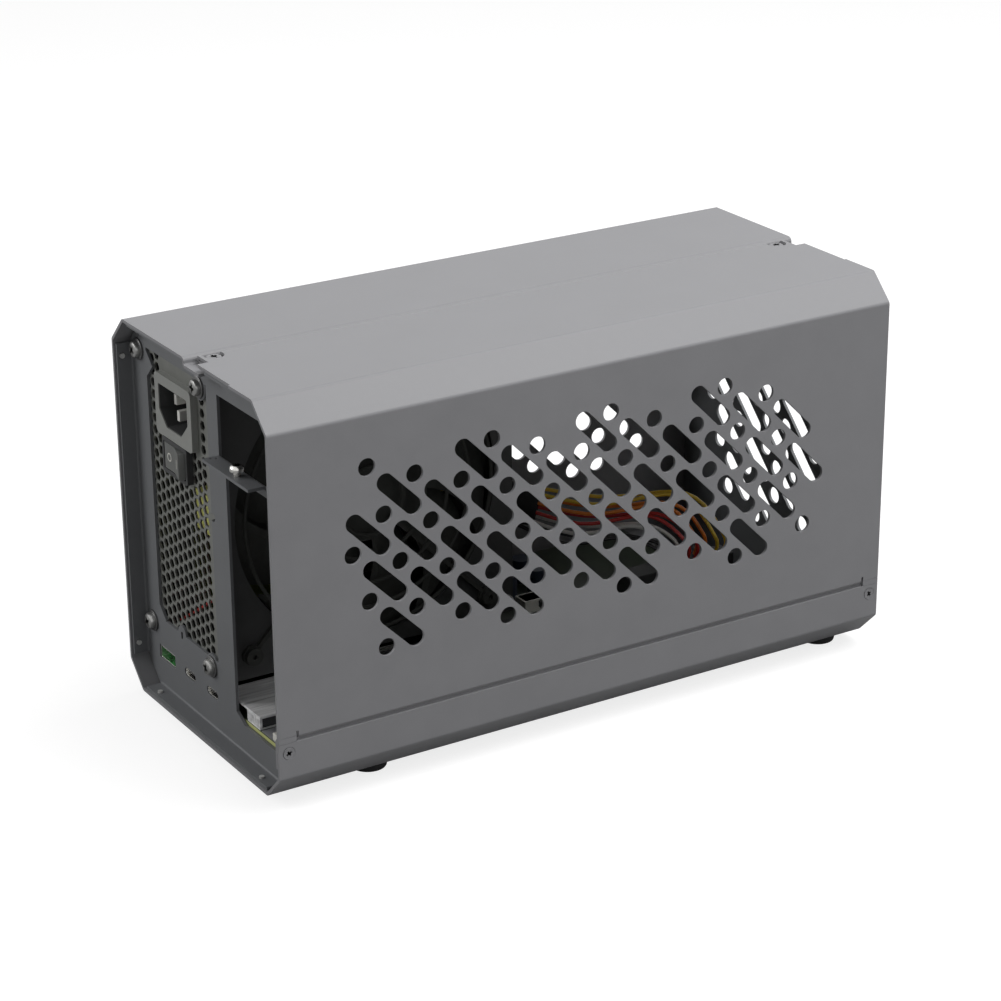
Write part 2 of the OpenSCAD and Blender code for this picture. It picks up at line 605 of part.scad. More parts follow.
// Fan: it hangs on the lid of the power supply by its ears
fan_r = fan_side / 2 - 0.5;
fan_ear_t = 3.5;
fan_hub_r = 18;
fan_tip_r = fan_r - 3.2;
fan_gap = 0.8;
rotor_h = 10;
blade_sweep = 26;
blade_twist = 34;
blade_angle = 5;
shaft_r = 1.5;
module at_fan() in_case() translate([fan_x, fan_y0, fan_z]) rotate([-90, 0, 0]) children();
module fan_ear_holes(r) for (x = [-1, 1], y = [-1, 1])
    translate([x * fan_hole_pitch / 2, y * fan_hole_pitch / 2]) circle(r = r);
module fan_frame() color("#2e2f30") at_fan() {
    difference() {
        union() {
            cylinder(h = fan_depth, r = fan_r);
            linear_extrude(fan_ear_t) difference() {
                rounded(fan_side, fan_side, 5);
                fan_ear_holes(2.15);
            }
        }
        translate([0, 0, -1]) cylinder(h = fan_depth + 2, r = fan_r - 2.2);
    }
    difference() {
        translate([0, 0, fan_gap + rotor_h + 0.6])
            cylinder(h = fan_depth - fan_gap - rotor_h - 0.6, r = fan_hub_r);
        translate([0, 0, 1]) cylinder(h = fan_depth, r = shaft_r + 0.05);
    }
    for (a = [0 : 90 : 270]) rotate(a + 20) translate([fan_hub_r - 0.5, -2, fan_depth - 2.4])
        cube([fan_r - 1.5 - fan_hub_r, 4, 2.4]);
}
function blade_edge(s) = [for (k = [0 : 6]) let (r = fan_hub_r - 1 + (fan_tip_r - fan_hub_r + 1) * k / 6,
    a = s * blade_angle / 2 + blade_sweep * pow(k / 6, 2)) r * [cos(a), sin(a)]];
module fan_rotor() color("#3a3b3c") at_fan() translate([0, 0, fan_gap]) {
    cylinder(h = rotor_h, r = fan_hub_r);
    cylinder(h = rotor_h + 3, r = shaft_r);
    for (b = [0 : fan_blades - 1]) rotate(b * 360 / fan_blades) translate([0, 0, 0.6])
        linear_extrude(rotor_h - 1.2, twist = blade_twist, slices = 6)
            polygon(concat(blade_edge(-1), reversed(blade_edge(1))));
}
guard_wire = 1.6;
guard_rings = [14, 24, 34, 44, 54];
module fan_guard() color("#8d8f8c") in_case() translate([fan_x, psu_y0, fan_z]) rotate([90, 0, 0]) {
    for (r = guard_rings) translate([0, 0, guard_wire * 1.4]) rotate_extrude()
        translate([r, 0]) circle(d = guard_wire, $fn = 12);
    for (a = [45 : 90 : 315]) rotate(a) {
        translate([guard_rings[0] - 1, -guard_wire / 2, 0])
            cube([fan_hole_pitch / sqrt(2) - guard_rings[0] - 2, guard_wire, guard_wire]);
        translate([fan_hole_pitch / sqrt(2), 0, 0]) difference() {
            cylinder(h = guard_wire, r = 4);
            translate([0, 0, -1]) cylinder(h = guard_wire + 2, r = 2.15);
        }
    }
}
module fan_screws() color("#2c2d2e") in_case() translate([0, psu_y0 - guard_wire, 0]) fan_hole_places()
    rotate([90, 0, 0])
    wafer_screw(4, 7, 2, guard_wire + psu_sheet + fan_ear_t + 2, 1.4);
module cover_screws() color("silver") in_case() translate([0, psu_y0, 0]) lid_screw_places()
    rotate([90, 0, 0])
    wafer_screw(2.5, 4.6, 1.3, 3.4, 0.7);
lid_screw_in = 2.6;
lid_screw_z = 5;
module lid_screw_places() for (x = [psu_x + lid_screw_in, psu_x + psu_l - lid_screw_in],
    z = [psu_z + lid_screw_z, psu_z + psu_h - lid_screw_z]) translate([x, 0, z]) children();

// Inside the power supply
psu_board_y = psu_y1 - 5;
psu_board_x = [psu_x + 18, psu_x + psu_l - 5];
psu_board_z = [psu_z + 5, psu_z + psu_h - 5];
psu_standoff_r = 2.5;
module psu_standoff_places() for (x = [psu_board_x[0] + 6, psu_board_x[1] - 6], z = [psu_board_z[0] + 6,
    psu_board_z[1] - 6])
    translate([x, 0, z]) children();
module psu_board() color("#5f6a2a") in_case()
    translate([psu_board_x[0], psu_board_y - board_t, psu_board_z[0]])
        cube([psu_board_x[1] - psu_board_x[0], board_t, psu_board_z[1] - psu_board_z[0]]);
module psu_standoffs() color("silver") in_case()
    psu_standoff_places() rod_y(0, psu_board_y, psu_y1 - psu_sheet, 0, psu_standoff_r);
psu_front = psu_board_y - board_t;
module transformer() color("#c9a23a") in_case() {
    rod_y(psu_x + 36, psu_front - 26, psu_front - 3, psu_mid_z - 5.7, 13.5);
    translate([psu_x + 11.6, 27, psu_mid_z - 13.7]) cube([8.1, 11.5, 16]);
}
module transformer_core() color("#3b3a38") in_case() difference() {
    translate([psu_x + 20, psu_front - 29, psu_mid_z - 23]) cube([32, 29, 34.6]);
    translate([psu_x + 19, psu_front - 26.2, psu_mid_z - 19.4]) cube([34, 23.4, 27.4]);
}
module psu_heat_sinks() color("#9a9c9e") in_case() for (z = [psu_z + 22, psu_z + psu_h - 26]) {
    translate([psu_x + 60, psu_front - 36, z]) cube([42, 36, 3]);
    for (k = [0 : 5]) translate([psu_x + 60 + k * 8.08, psu_front - 36, z + 3 - eps]) cube([1.6, 36, 7]);
}
module capacitors() color("#26282c") in_case() {
    for (z = [-17, 10]) rod_y(psu_x + 72, psu_front - 33, psu_front, psu_mid_z + z, 11);
    for (x = [94 : 13 : 120], z = [-8, 8, 24])
        rod_y(psu_x + x, psu_front - 21, psu_front, psu_mid_z + z, 5);
}
outlet_wall = 2;
module cable_grommet() color("#1f2021") in_case() translate([0, outlet_y, outlet_z]) difference() {
    union() {
        along_x(psu_x + psu_l, psu_x + psu_l + 1.4) rounded(outlet_w + 3, outlet_w + 3, 3);
        along_x(psu_x + psu_l - 2, psu_x + psu_l + eps) rounded(outlet_w - 2 * fit, outlet_w - 2 * fit, 2);
    }
    along_x(psu_x + psu_l - 3, psu_x + psu_l + 3)
        rounded(outlet_w - 2 * outlet_wall, outlet_w - 2 * outlet_wall, 2);
}

// Docking board on its standoffs
standoff_y = 47;
standoff_d = 5.6;
standoff_screw_d = 3;
standoff_xs = [board_x + board_l / 2 + 14, board_x + board_l - 6];
module standoff_places() {
    for (x = standoff_xs, y = [-standoff_y, standoff_y]) translate([x, y, 0]) children();
    translate([board_x + 6, -standoff_y, 0]) children();
    translate([usb_x + usb_a_l + 6, standoff_y, 0]) children();
}
module standoffs() color("#b9a35a") in_case() standoff_places() {
    rod_z(0, 0, 0.2, sheet + eps, standoff_screw_d / 2);
    difference() {
        translate([0, 0, sheet]) cylinder(h = board_bottom - sheet, d = standoff_d / cos(30), $fn = 6);
        rod_z(0, 0, board_bottom - 7, board_bottom + 1, standoff_screw_d / 2);
    }
}
module board_screws() color("silver") in_case() standoff_places() translate([0, 0, board_z])
    wafer_screw(standoff_screw_d - 2 * fit, 5.5, 1.8, board_t + 5, 0.9);
usb_a_w = 13.1;
usb_a_h = 5.1;
usb_a_l = 14;
usb_x = recess + 0.3;
module dock_board() color("#38402a") in_case() difference() {
    translate([board_x, board_y0, board_bottom]) cube([board_l, board_y1 - board_y0, board_t]);
    standoff_places() rod_z(0, 0, board_bottom - 1, board_z + 1, standoff_screw_d / 2 + fit);
    translate([board_x - 1, usb_a_y - usb_a_w / 2 - 0.4, board_bottom - 1])
        cube([usb_x + usb_a_l - board_x + 1.4, usb_a_w + 0.8, board_t + 2]);
}

slot_w = 7.5;
slot_h = 11;
slot_groove = 1.8;
slot_deep = 8;
slot_key = 11.65 + 2.6;
latch_pin = [3, 5];
latch_r = 0.9;
latch_t = 4.6;
latch_lug = 6.6;
module card_slot() color("#1d1e20") in_case() translate([slot_x, slot_y, board_z]) difference() {
    union() {
        translate([0, -slot_w / 2, 0]) cube([slot_l, slot_w, slot_h]);
        for (s = [0, 1]) mirror([0, s, 0]) translate([slot_l - eps, latch_t / 2 + 0.35, 0])
            cube([latch_lug, slot_w / 2 - latch_t / 2 - 0.35, 9]);
        translate([slot_l - eps, -slot_w / 2, 0]) cube([latch_lug, slot_w, 1]);
    }
    translate([2, -slot_groove / 2, slot_h - slot_deep]) cube([slot_key - 1.9, slot_groove, slot_deep + 1]);
    translate([slot_key + 1.9, -slot_groove / 2, slot_h - slot_deep])
        cube([slot_l - slot_key + 10, slot_groove, slot_deep + 1]);
    rod_y(slot_l + latch_pin[0], -slot_w, slot_w, latch_pin[1], latch_r + 0.05);
}
module slot_latch() color("#2a2c2f") in_case() translate([slot_x + slot_l, slot_y, board_z]) {
    rod_y(latch_pin[0], -slot_w / 2, slot_w / 2, latch_pin[1], latch_r);
    difference() {
        along_y(-latch_t / 2, latch_t / 2)
            polygon([[1.5, 2.2], [latch_pin[0] + 1.6, 1.8], [latch_pin[0] + 2.4, 5],
            [latch_pin[0] + 3.2, 12], [7.4, 17], [8.2, 20], [6.4, 20], [4.6, 17], [0.4, 16.2], [0.4,
                13.6], [1.4, 12.6], [0.8, 6]]);
        translate([-1, -slot_groove / 2, 8]) cube([3, slot_groove, 4]);
    }
}

module usb_a_shell() color("silver") in_case() translate([0, usb_a_y, port_z]) difference() {
    along_x(usb_x, usb_x + usb_a_l) rounded(usb_a_w, usb_a_h, 0.5);
    along_x(usb_x - 1, usb_x + usb_a_l - 0.3) square([usb_a_w - 0.7, usb_a_h - 0.7], center = true);
}
module usb_a_tongue() color("#3d8a4c") in_case() translate([0, usb_a_y, port_z]) {
    along_x(usb_x + usb_a_l - 4, usb_x + usb_a_l - 0.4)
        square([usb_a_w - 0.9, usb_a_h - 0.9], center = true);
    along_x(usb_x + 1.4, usb_x + usb_a_l - 3.9) translate([0, 1.1]) square([11.1, 1.8], center = true);
}
usb_c_l = 8;
module usb_c_shells() color("silver") in_case() for (y = usb_c_y) translate([0, y, port_z]) difference() {
    along_x(usb_x, usb_x + usb_c_l) usb_c_shape(0);
    along_x(usb_x - 1, usb_x + usb_c_l - 0.3) usb_c_shape(-0.3);
}
module usb_c_tongues() color("#1c1c1e") in_case() for (y = usb_c_y) translate([0, y, port_z]) {
    along_x(usb_x + 0.9, usb_x + usb_c_l - 2) square([6.7, 0.7], center = true);
    along_x(usb_x + usb_c_l - 2.1, usb_x + usb_c_l - 0.4) usb_c_shape(-0.4);
}

// What stands on the board
module heat_sink() color("silver") in_case() difference() {
    translate([13, -31, board_z]) cube([30, 7.6, 5.6]);
    translate([15, -32, board_z + 0.8]) cube([26, 5, 4]);
}
module chip() color("#1c1d1f") in_case() translate([60, -11, board_z]) cube([12, 6, 1.2]);
module heat_spreader() color("silver") in_case() translate([56, -12, board_z + 1.2]) {
    cube([30, 8, 2]);
    for (k = [0 : 3]) translate([0, k * 2.2, 2 - eps]) cube([30, 1.2, 4]);
}
power_x = board_x + board_l - 53;
power_y = slot_y;
power_l = 51.6;
power_w = 9.8;
power_h = 9;
plug_h = 15;
plug_lift = 4;
plug_top = board_z + plug_lift + plug_h;
module power_socket() color("#d8d6cc") in_case() translate([power_x, power_y - power_w / 2, board_z])
    difference() {
    cube([power_l, power_w, power_h]);
    translate([1, 1, 1.6]) cube([power_l - 2, power_w - 2, power_h]);
}
module power_plug() color("#1f2022") in_case()
    translate([power_x, power_y - power_w / 2, board_z + plug_lift]) {
    translate([1 + fit, 1 + fit, 0]) cube([power_l - 2 - 2 * fit, power_w - 2 - 2 * fit, plug_h]);
    translate([0, 0, power_h - plug_lift + fit])
        cube([power_l, power_w, plug_h - power_h + plug_lift - fit]);
}
module board_capacitors() color("#2b2d33") in_case()
    for (p = [[152, 24], [152, 36], [166, 24], [166, 36], [30, -44]])
        rod_z(p[0], p[1], board_z, board_z + 10, 4);
module small_socket() color("#dcdad0") in_case() translate([148, 4, board_z]) difference() {
    cube([10, 8, 6]);
    translate([1, 1, 1.2]) cube([8, 6, 6]);
}

// Leads: points along each route, joined by a smooth curve and swept as a tube of eight sides
function between(p, k, t) = let (n = len(p), a = p[max(k - 1, 0)], b = p[k], c = p[k + 1],
    d = p[min(k + 2, n - 1)])
    b + (c - a) * t / 2 + (2 * a - 5 * b + 4 * c - d) * t * t / 2 + (3 * b - a - 3 * c + d) * t * t * t / 2;
function curve(p, steps) = concat([for (k = [0 : len(p) - 2], i = [0 : steps - 1]) between(p, k,
    i / steps)], [p[len(p) - 1]]);
function ring_normal(c, i) = unit(c[min(i + 1, len(c) - 1)] - c[max(i - 1, 0)]);
function ring_side(c, i) = i == 0 ? unit(cross(ring_normal(c, 0), [0.3, 0.2, 1]))
    : let (n = ring_normal(c, i), v = ring_side(c, i - 1)) unit(v - (v * n) * n);
module tube(c, r) {
    sides = [for (i = 0, v = ring_side(c, 0); i < len(c); i = i + 1,
        v = i < len(c) ? unit(v - (v * ring_normal(c, i)) * ring_normal(c, i)) : v) v];
    points = [for (i = [0 : len(c) - 1]) let (n = ring_normal(c, i), u = sides[i], w = cross(n, u))
        each [for (k = [0 : 7]) c[i] + r * (cos(k * 45) * u + sin(k * 45) * w)]];
    faces = concat([[for (k = [0 : 7]) k]],
        [for (i = [0 : len(c) - 2], k = [0 : 7]) let (a = i * 8 + k, b = i * 8 + (k + 1) % 8) [a, a + 8,
            b + 8, b]],
        [[for (k = [7 : -1 : 0]) (len(c) - 1) * 8 + k]]);
    polyhedron(points = points, faces = faces, convexity = 6);
}
lead_r = 0.85;
lead_lane = 3;
lead_pitch = 4.2;
row_y = 2.1;
// A pair of leads: the first points stand off the supply's own board, the last ones go straight down
// into the plug.
// z is the pair's lane in the outlet, top the crest of its arc, x its place along the plug and row its
// side of it.
module lead_pair(z, top, x, row) in_case() for (s = [-1, 1]) {
    j = s * lead_lane;
    start = psu_x + psu_l - 19 + 3 * s;
    end = x + s * lead_pitch / 2;
    tube(curve([[start, psu_front, outlet_z + z],
                [start, psu_front - 8, outlet_z + z],
                [start + 8, outlet_y + j, outlet_z + z],
                [psu_x + psu_l - 1, outlet_y + j, outlet_z + z],
                [psu_x + psu_l + 12, outlet_y + j, outlet_z + z],
                [(psu_x + psu_l + 8 + x) / 2 + j, (outlet_y + power_y) / 2 + j + 3, outlet_z - 8 + z],
                [end - 9, power_y + 12, top],
                [end, power_y + row * row_y, plug_top + 8],
                [end, power_y + row * row_y, plug_top]], 3), lead_r);
}
module lead_yellow() color("#d9b92f") lead_pair(7, 57, power_x + 46, -1);
module lead_orange() color("#d2691e") lead_pair(3.5, 54, power_x + 39, 1);
module lead_red() color("#b3262a") lead_pair(0, 51, power_x + 32, -1);
module lead_white() color("#d9d9d4") lead_pair(-3.5, 48, power_x + 25, 1);
module lead_black() color("#1d1d1f") lead_pair(-7, 44.5, power_x + 18, -1);

outer_shell();
side_cover();
rear_panel();
front_panel();
panel_screws();
strip_screws();
seam_screws();
shelf_screw();
rubber_feet();
foot_screws();
psu_case();
psu_cover();
psu_rear_plate();
psu_front_plate();
psu_screws();
cover_screws();
inlet_housing();
inlet_pins();
switch_bezel();
rocker();
fan_frame();
fan_rotor();
fan_guard();
fan_screws();
psu_board();
psu_standoffs();
transformer();
transformer_core();
psu_heat_sinks();
capacitors();
cable_grommet();
dock_board();
standoffs();
board_screws();
card_slot();
slot_latch();
usb_a_shell();
usb_a_tongue();
usb_c_shells();
usb_c_tongues();
heat_sink();
chip();
heat_spreader();
power_socket();
power_plug();
board_capacitors();
small_socket();
lead_yellow();
lead_orange();
lead_red();
lead_white();
lead_black();
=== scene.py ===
import json
import math

import bmesh
import bpy
from mathutils import Matrix, Vector


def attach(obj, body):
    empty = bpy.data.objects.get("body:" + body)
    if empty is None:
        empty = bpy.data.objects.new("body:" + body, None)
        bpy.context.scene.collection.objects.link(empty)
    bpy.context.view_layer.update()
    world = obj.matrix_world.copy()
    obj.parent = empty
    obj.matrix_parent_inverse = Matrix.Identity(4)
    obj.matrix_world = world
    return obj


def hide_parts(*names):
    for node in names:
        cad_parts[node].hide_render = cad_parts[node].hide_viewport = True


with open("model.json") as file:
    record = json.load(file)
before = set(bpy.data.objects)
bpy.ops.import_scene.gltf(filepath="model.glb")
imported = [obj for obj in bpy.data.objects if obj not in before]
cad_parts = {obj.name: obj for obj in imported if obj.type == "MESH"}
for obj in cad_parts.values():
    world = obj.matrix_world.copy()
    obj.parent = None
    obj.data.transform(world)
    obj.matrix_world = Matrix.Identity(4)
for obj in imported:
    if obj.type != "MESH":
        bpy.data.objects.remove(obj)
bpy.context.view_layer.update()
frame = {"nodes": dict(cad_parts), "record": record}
nodes = frame["nodes"]
mm = 0.001


def place(x, y, z):  # millimetres from the rear end, the centre line and the case bottom
    return Vector((x - 137.5, y, z + 4.5)) * mm


# materials
def newMaterial(name):
    mat = bpy.data.materials.new(name)
    mat.use_nodes = True
    tree = mat.node_tree
    return mat, tree, tree.nodes["Principled BSDF"]


def objectNoise(tree, scale, detail=2.0, rough=0.5, stretch=(1, 1, 1)):
    coord = tree.nodes.new("ShaderNodeTexCoord")
    mapping = tree.nodes.new("ShaderNodeMapping")
    mapping.inputs["Scale"].default_value = stretch
    noise = tree.nodes.new("ShaderNodeTexNoise")
    noise.inputs["Scale"].default_value = scale
    noise.inputs["Detail"].default_value = detail
    noise.inputs["Roughness"].default_value = rough
    tree.links.new(coord.outputs["Object"], mapping.inputs["Vector"])
    tree.links.new(mapping.outputs["Vector"], noise.inputs["Vector"])
    return noise


def tintByNoise(tree, shader, noise, color, spread, low=0.3, high=0.7):
    ramp = tree.nodes.new("ShaderNodeValToRGB")
    ramp.color_ramp.elements[0].position = low
    ramp.color_ramp.elements[1].position = high
    ramp.color_ramp.elements[0].color = [c * (1 - spread) for c in color] + [1]
    ramp.color_ramp.elements[1].color = [min(1, c * (1 + spread)) for c in color] + [1]
    tree.links.new(noise.outputs["Fac"], ramp.inputs["Fac"])
    tree.links.new(ramp.outputs["Color"], shader.inputs["Base Color"])


def bumpFrom(tree, shader, noise, strength, distance):
    bump = tree.nodes.new("ShaderNodeBump")
    bump.inputs["Strength"].default_value = strength
    bump.inputs["Distance"].default_value = distance
    tree.links.new(noise.outputs["Fac"], bump.inputs["Height"])
    tree.links.new(bump.outputs["Normal"], shader.inputs["Normal"])


def roughFrom(tree, shader, noise, low, high):
    spread = tree.nodes.new("ShaderNodeMapRange")
    spread.inputs["To Min"].default_value = low
    spread.inputs["To Max"].default_value = high
    tree.links.new(noise.outputs["Fac"], spread.inputs["Value"])
    tree.links.new(spread.outputs["Result"], shader.inputs["Roughness"])


def grainedMaterial(name, color, rough, metallic=0.0, grain=900, spread=0.08, bump=0.2,
                    depth=0.00004, stretch=(1, 1, 1), spec=0.5, cloud=None):
    mat, tree, shader = newMaterial(name)
    shader.inputs["Metallic"].default_value = metallic
    shader.inputs["Specular IOR Level"].default_value = spec
    fine = objectNoise(tree, grain, 2.0, 0.5, stretch)
    wide = objectNoise(tree, cloud or grain / 12, 3.0, 0.6, stretch)
    tintByNoise(tree, shader, wide, color, spread)
    roughFrom(tree, shader, wide, rough - 0.06, rough + 0.06)
    bumpFrom(tree, shader, fine, bump, depth)
    return mat


finish = {
    "case_paint": dict(color=(0.235, 0.235, 0.245), rough=0.5, grain=2600, bump=0.5, spread=0.03, spec=0.45,
                       cloud=60),
    "panel_paint": dict(color=(0.150, 0.155, 0.162), rough=0.52, grain=2600, bump=0.5, spread=0.04, spec=0.4,
                        cloud=60),
    "supply_paint": dict(color=(0.045, 0.046, 0.046), rough=0.45, grain=1800, bump=0.3, spread=0.08),
    "mesh_steel": dict(color=(0.20, 0.205, 0.19), rough=0.42, metallic=0.35, grain=1500, bump=0.2,
                       spread=0.1),
    "zinc": dict(color=(0.68, 0.68, 0.66), rough=0.34, metallic=0.45, grain=2200, bump=0.2, spread=0.12),
    "dark_zinc": dict(color=(0.16, 0.16, 0.16), rough=0.38, metallic=0.85, grain=2200, bump=0.2, spread=0.2),
    "nickel": dict(color=(0.68, 0.67, 0.64), rough=0.25, metallic=1.0, grain=2600, bump=0.1, spread=0.06),
    "brass_nickel": dict(color=(0.62, 0.50, 0.27), rough=0.3, metallic=1.0, grain=2600, bump=0.1, spread=0.1),
    "foot_rubber": dict(color=(0.028, 0.028, 0.029), rough=0.8, grain=1400, bump=0.5, spread=0.15, spec=0.3),
    "black_plastic": dict(color=(0.032, 0.033, 0.034), rough=0.5, grain=1600, bump=0.35, spread=0.1),
    "grey_plastic": dict(color=(0.26, 0.265, 0.25), rough=0.5, grain=1600, bump=0.35, spread=0.05),
    "dark_plastic": dict(color=(0.13, 0.134, 0.128), rough=0.42, grain=1600, bump=0.3, spread=0.06),
    "heat_sink_aluminium": dict(color=(0.66, 0.66, 0.64), rough=0.34, metallic=1.0, grain=700, bump=0.25,
                                spread=0.1, stretch=(0.08, 1, 1)),
    "supply_board": dict(color=(0.17, 0.19, 0.05), rough=0.4, grain=900, bump=0.2, spread=0.2),
    "dock_mask": dict(color=(0.035, 0.045, 0.030), rough=0.3, grain=900, bump=0.2, spread=0.25),
    # tape yellow: its own yellow, raised brighter as painted light where the tape sits in the supply's shade
    "yellow_tape": dict(color=(0.95, 0.95, 0.28), rough=0.35, grain=500, bump=0.3, spread=0.12),
    "ferrite": dict(color=(0.045, 0.042, 0.040), rough=0.6, grain=1200, bump=0.5, spread=0.2),
    # near-black fan finish: partly the fan's own black, partly painted shade for the supply's shaded interior
    "guard_black_and_shade": dict(color=(0.05, 0.052, 0.048), rough=0.7, grain=1400, bump=0.3, spread=0.1, spec=0.2),
    "block_aluminium": dict(color=(0.86, 0.86, 0.87), rough=0.36, metallic=0.35, grain=900, bump=0.3,
                            spread=0.4, stretch=(0.06, 1, 1), cloud=500),
    "pin_metal": dict(color=(0.85, 0.84, 0.80), rough=0.35, metallic=0.4, grain=2200, bump=0.1, spread=0.06),
    "screw_steel": dict(color=(0.40, 0.40, 0.39), rough=0.3, metallic=0.8, grain=2200, bump=0.2, spread=0.15),
    "sleeve_black": dict(color=(0.02, 0.02, 0.02), rough=0.7, grain=1200, bump=0.6, spread=0.2, spec=0.2),
    "board_core": dict(color=(0.52, 0.54, 0.22), rough=0.6, grain=1400, bump=0.4, spread=0.12),
    "tinned": dict(color=(0.42, 0.42, 0.45), rough=0.4, metallic=0.6, grain=1400, bump=0.4, spread=0.12),
    "can": dict(color=(0.035, 0.045, 0.07), rough=0.3, grain=800, bump=0.1, spread=0.1),
    "white_plastic": dict(color=(0.72, 0.71, 0.66), rough=0.42, grain=1400, bump=0.2, spread=0.04),
    # green of the USB tongue: its own green, pushed brighter as a painted highlight on its front face
    "green_plastic": dict(color=(0.16, 0.85, 0.26), rough=0.35, grain=1400, bump=0.1, spread=0.06),
    "wire_yellow": dict(color=(0.80, 0.55, 0.04), rough=0.32, grain=900, bump=0.1, spread=0.06),
    "wire_orange": dict(color=(0.80, 0.22, 0.02), rough=0.32, grain=900, bump=0.1, spread=0.06),
    "wire_red": dict(color=(0.52, 0.03, 0.025), rough=0.32, grain=900, bump=0.1, spread=0.06),
    "wire_white": dict(color=(0.72, 0.71, 0.68), rough=0.32, grain=900, bump=0.1, spread=0.04),
    "wire_black": dict(color=(0.022, 0.022, 0.023), rough=0.36, grain=900, bump=0.1, spread=0.1),
}
materials = {name: grainedMaterial(name, **values) for name, values in finish.items()}
slotOf = {part["node"]: part["material_slot"] for part in frame["record"]["subparts"]}
for name, obj in nodes.items():
    obj.data.materials.clear()
    obj.data.materials.append(materials[slotOf[name]])
# fan guard, screws, frame and rotor get the near-black finish, partly as painted shade inside the supply
for name in ("fan_guard", "fan_screws", "fan_frame", "fan_rotor"):
    nodes[name].data.materials[0] = materials["guard_black_and_shade"]
nodes["inlet_pins"].data.materials[0] = materials["pin_metal"]
print("materials on", len(nodes), "CAD pieces")


# rounded edges on CAD pieces
roundedEdges = {
    "outer_shell": 0.22, "side_cover": 0.22, "rear_panel": 0.18, "front_panel": 0.18,
    "switch_bezel": 0.3, "rocker": 0.35, "rubber_feet": 0.5,
    "card_slot": 0.2, "power_socket": 0.2, "power_plug": 0.25, "small_socket": 0.2,
    "usb_a_shell": 0.1, "usb_c_shells": 0.08, "cable_grommet": 0.3, "fan_frame": 0.3,
    "transformer_core": 0.4,
}
edgeStyle = dict(weld=0.002, flat=0.5, segments=2, sharp=40)  # millimetres and degrees
for name, width in roundedEdges.items():
    obj = nodes[name]
    weld = obj.modifiers.new("weld", "WELD")
    weld.merge_threshold = edgeStyle["weld"] * mm
    flat = obj.modifiers.new("flat", "DECIMATE")
    flat.decimate_type = "DISSOLVE"
    flat.angle_limit = math.radians(edgeStyle["flat"])
    edge = obj.modifiers.new("edge", "BEVEL")
    edge.width = width * mm
    edge.segments = edgeStyle["segments"]
    edge.limit_method = "ANGLE"
    edge.angle_limit = math.radians(edgeStyle["sharp"])
    edge.miter_outer = "MITER_ARC"
print("rounded edges on", len(roundedEdges), "CAD pieces")


# small helpers
doubles = 0.001  # millimetres
smoothLimit = 35  # degrees
ringSides = dict(screw=32, washer=40, mark=32)


def finishPiece(bm, name, material, body, smooth=True, replaced=()):
    bmesh.ops.remove_doubles(bm, verts=bm.verts, dist=doubles * mm)
    bmesh.ops.recalc_face_normals(bm, faces=bm.faces)
    mesh = bpy.data.meshes.new(name)
    bm.to_mesh(mesh)
    bm.free()
    obj = bpy.data.objects.new(name, mesh)
    bpy.context.scene.collection.objects.link(obj)
    mesh.materials.append(materials[material])
    if smooth:
        for poly in mesh.polygons:
            poly.use_smooth = True
        mesh.set_sharp_from_angle(angle=math.radians(smoothLimit))
    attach(obj, body)
    if replaced:
        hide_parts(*replaced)


def turnedTo(direction, spin=0.0):  # +Z turned to a direction, with a spin about it
    return direction.to_track_quat("Z", "Y").to_matrix().to_4x4() @ Matrix.Rotation(spin, 4, "Z")


def standAt(bm, start, at, direction, spin=0.0):  # moves what was made since start to its place
    bm.verts.ensure_lookup_table()
    matrix = Matrix.Translation(at) @ turnedTo(Vector(direction), spin)
    bmesh.ops.transform(bm, matrix=matrix, verts=bm.verts[start:])


def ringLoop(bm, radius, z, count):
    made = bmesh.ops.create_circle(bm, segments=count, radius=radius, cap_ends=False)
    bmesh.ops.translate(bm, verts=made["verts"], vec=(0, 0, z))
    return list({e for v in made["verts"] for e in v.link_edges})


def crossLoop(bm, reach, arm, z):
    corners = [(reach, -arm), (reach, arm), (arm, arm), (arm, reach), (-arm, reach), (-arm, arm),
               (-reach, arm), (-reach, -arm), (-arm, -arm), (-arm, -reach), (arm, -reach), (arm, -arm)]
    verts = [bm.verts.new((x, y, z)) for x, y in corners]
    return [bm.edges.new((verts[i], verts[(i + 1) % 12])) for i in range(12)]


recessTaper = 0.55


def addScrew(bm, at, direction, one, spin=0.3):
    # rings are (radius, height) from the rim of the head to its top, then comes a cross recess
    start = len(bm.verts)
    rings = one["rings"]
    loops = [ringLoop(bm, radius * mm, height * mm, ringSides["screw"]) for radius, height in rings]
    top = rings[-1][1]
    reach, arm, deep = one["recess"]
    loops.append(crossLoop(bm, reach * mm, arm * mm, top * mm))
    loops.append(crossLoop(bm, reach * recessTaper * mm, arm * recessTaper * mm, (top - deep) * mm))
    for a, b in zip(loops, loops[1:]):
        bmesh.ops.bridge_loops(bm, edges=a + b)
    bmesh.ops.edgeloop_fill(bm, edges=loops[-1])
    radius, length = one["shank"]
    rim = ringLoop(bm, radius * mm, rings[0][1] * mm, ringSides["screw"])
    tip = ringLoop(bm, radius * mm, (rings[0][1] - length) * mm, ringSides["screw"])
    bmesh.ops.bridge_loops(bm, edges=loops[0] + rim)
    bmesh.ops.bridge_loops(bm, edges=rim + tip)
    bmesh.ops.edgeloop_fill(bm, edges=tip)
    standAt(bm, start, at, direction, spin)


